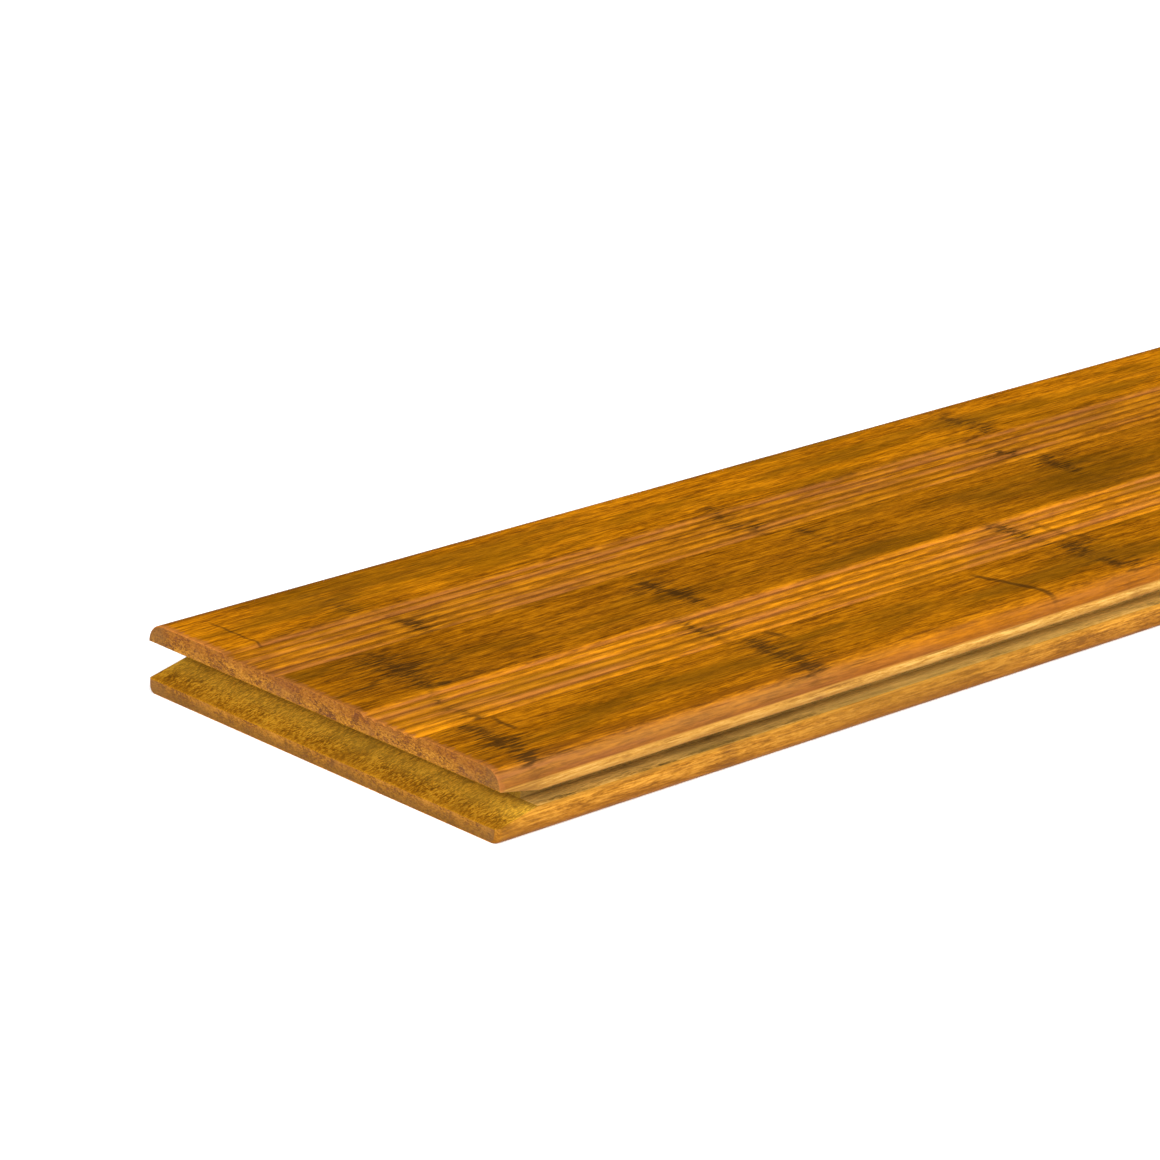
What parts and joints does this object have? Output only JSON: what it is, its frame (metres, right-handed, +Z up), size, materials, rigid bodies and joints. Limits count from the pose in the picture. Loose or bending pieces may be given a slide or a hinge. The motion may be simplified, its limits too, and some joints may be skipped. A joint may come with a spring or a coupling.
{
  "type": "decking board",
  "caption": "Heat-treated bamboo decking board with rounded edges, reeded anti-slip bands, side clip grooves and end-matched tongue and groove.",
  "frame": {"origin": "on the underside, below the middle of the board's whole length and width", "axes": "+X along the board from its grooved end to its tongue, +Y across it, +Z up out of the walking face"},
  "size_m": [1.8624, 0.137, 0.02],
  "materials": {
    "bamboo": "oiled compressed bamboo, satin"
  },
  "bodies": {
    "root": {"deck_board": "bamboo"}
  },
  "joints": []
}
